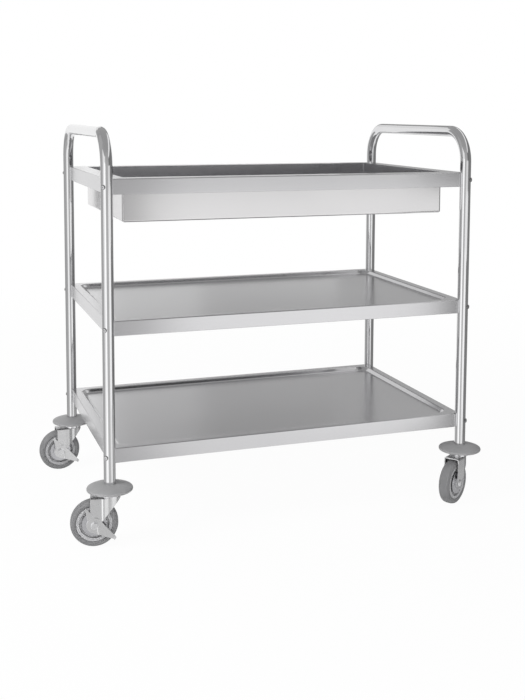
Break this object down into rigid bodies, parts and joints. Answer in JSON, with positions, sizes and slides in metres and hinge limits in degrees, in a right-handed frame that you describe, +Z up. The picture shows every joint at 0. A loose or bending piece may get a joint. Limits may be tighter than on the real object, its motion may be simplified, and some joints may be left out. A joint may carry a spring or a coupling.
{
  "type": "serving trolley",
  "caption": "Three-tier serving trolley: bent-tube end frames with push handles, a deep top tray, pressed shelves below, and swivel casters with round bumpers and wheel brakes.",
  "frame": {"origin": "on the floor, midway between the four legs", "axes": "+X along the shelves, +Y from the front to the back, +Z up"},
  "size_m": [0.992, 0.6134, 0.877],
  "materials": {
    "tube_steel": "polished stainless tube",
    "shelf_steel": "satin stainless sheet",
    "bolt_steel": "bright plated steel",
    "zinc_steel": "bright zinc-plated pressed steel",
    "guard_steel": "satin pressed steel",
    "bumper_plastic": "soft grey moulded plastic",
    "plug_plastic": "dark moulded plastic",
    "core_plastic": "grey moulded plastic",
    "tyre_rubber": "grey non-marking rubber"
  },
  "bodies": {
    "frame": {"left_end_frame": "tube_steel", "right_end_frame": "tube_steel", "top_shelf": "shelf_steel", "deep_tray": "shelf_steel", "middle_shelf": "shelf_steel", "bottom_shelf": "shelf_steel", "shelf_bolts": "bolt_steel", "corner_nuts": "bolt_steel", "front_left_bumper": "bumper_plastic", "front_left_tube_plug": "plug_plastic", "front_left_stem": "bolt_steel", "front_left_swivel_race": "zinc_steel", "rear_left_bumper": "bumper_plastic", "rear_left_tube_plug": "plug_plastic", "rear_left_stem": "bolt_steel", "rear_left_swivel_race": "zinc_steel", "front_right_bumper": "bumper_plastic", "front_right_tube_plug": "plug_plastic", "front_right_stem": "bolt_steel", "front_right_swivel_race": "zinc_steel", "rear_right_bumper": "bumper_plastic", "rear_right_tube_plug": "plug_plastic", "rear_right_stem": "bolt_steel", "rear_right_swivel_race": "zinc_steel"},
    "front_left_swivel": {"front_left_fork": "zinc_steel", "front_left_swivel_balls": "bolt_steel", "front_left_axle_bolt": "bolt_steel", "front_left_axle_nut": "bolt_steel"},
    "front_left_wheel": {"front_left_wheel_core": "core_plastic", "front_left_tyre": "tyre_rubber", "front_left_axle_bush": "plug_plastic", "front_left_thread_guards": "guard_steel"},
    "front_left_brake": {"front_left_brake_lever": "zinc_steel"},
    "rear_left_swivel": {"rear_left_fork": "zinc_steel", "rear_left_swivel_balls": "bolt_steel", "rear_left_axle_bolt": "bolt_steel", "rear_left_axle_nut": "bolt_steel"},
    "rear_left_wheel": {"rear_left_wheel_core": "core_plastic", "rear_left_tyre": "tyre_rubber", "rear_left_axle_bush": "plug_plastic", "rear_left_thread_guards": "guard_steel"},
    "rear_left_brake": {"rear_left_brake_lever": "zinc_steel"},
    "front_right_swivel": {"front_right_fork": "zinc_steel", "front_right_swivel_balls": "bolt_steel", "front_right_axle_bolt": "bolt_steel", "front_right_axle_nut": "bolt_steel"},
    "front_right_wheel": {"front_right_wheel_core": "core_plastic", "front_right_tyre": "tyre_rubber", "front_right_axle_bush": "plug_plastic", "front_right_thread_guards": "guard_steel"},
    "rear_right_swivel": {"rear_right_fork": "zinc_steel", "rear_right_swivel_balls": "bolt_steel", "rear_right_axle_bolt": "bolt_steel", "rear_right_axle_nut": "bolt_steel"},
    "rear_right_wheel": {"rear_right_wheel_core": "core_plastic", "rear_right_tyre": "tyre_rubber", "rear_right_axle_bush": "plug_plastic", "rear_right_thread_guards": "guard_steel"}
  },
  "joints": [
    {"name": "front_left_swivel_turn", "type": "hinge", "parent": "frame", "child": "front_left_swivel", "pos_m": [-0.415, -0.255, 0.107], "axis": [0, 0, 1], "continuous": true},
    {"name": "front_left_wheel_spin", "type": "hinge", "parent": "front_left_swivel", "child": "front_left_wheel", "pos_m": [-0.4475, -0.24927, 0.05], "axis": [-0.1736, -0.9848, 0], "continuous": true},
    {"name": "front_left_brake_press", "type": "hinge", "parent": "front_left_swivel", "child": "front_left_brake", "pos_m": [-0.4475, -0.24927, 0.05], "axis": [0.1736, 0.9848, 0], "range_deg": [0, 16]},
    {"name": "rear_left_swivel_turn", "type": "hinge", "parent": "frame", "child": "rear_left_swivel", "pos_m": [-0.415, 0.255, 0.107], "axis": [0, 0, 1], "continuous": true},
    {"name": "rear_left_wheel_spin", "type": "hinge", "parent": "rear_left_swivel", "child": "rear_left_wheel", "pos_m": [-0.44795, 0.25327, 0.05], "axis": [0.0523, -0.9986, 0], "continuous": true},
    {"name": "rear_left_brake_press", "type": "hinge", "parent": "rear_left_swivel", "child": "rear_left_brake", "pos_m": [-0.44795, 0.25327, 0.05], "axis": [-0.0523, 0.9986, 0], "range_deg": [0, 16]},
    {"name": "front_right_swivel_turn", "type": "hinge", "parent": "frame", "child": "front_right_swivel", "pos_m": [0.415, -0.255, 0.107], "axis": [0, 0, 1], "continuous": true},
    {"name": "front_right_wheel_spin", "type": "hinge", "parent": "front_right_swivel", "child": "front_right_wheel", "pos_m": [0.38764, -0.27345, 0.05], "axis": [0.5592, -0.829, 0], "continuous": true},
    {"name": "rear_right_swivel_turn", "type": "hinge", "parent": "frame", "child": "rear_right_swivel", "pos_m": [0.415, 0.255, 0.107], "axis": [0, 0, 1], "continuous": true},
    {"name": "rear_right_wheel_spin", "type": "hinge", "parent": "rear_right_swivel", "child": "rear_right_wheel", "pos_m": [0.44491, 0.26895, 0.05], "axis": [-0.4226, 0.9063, 0], "continuous": true}
  ]
}
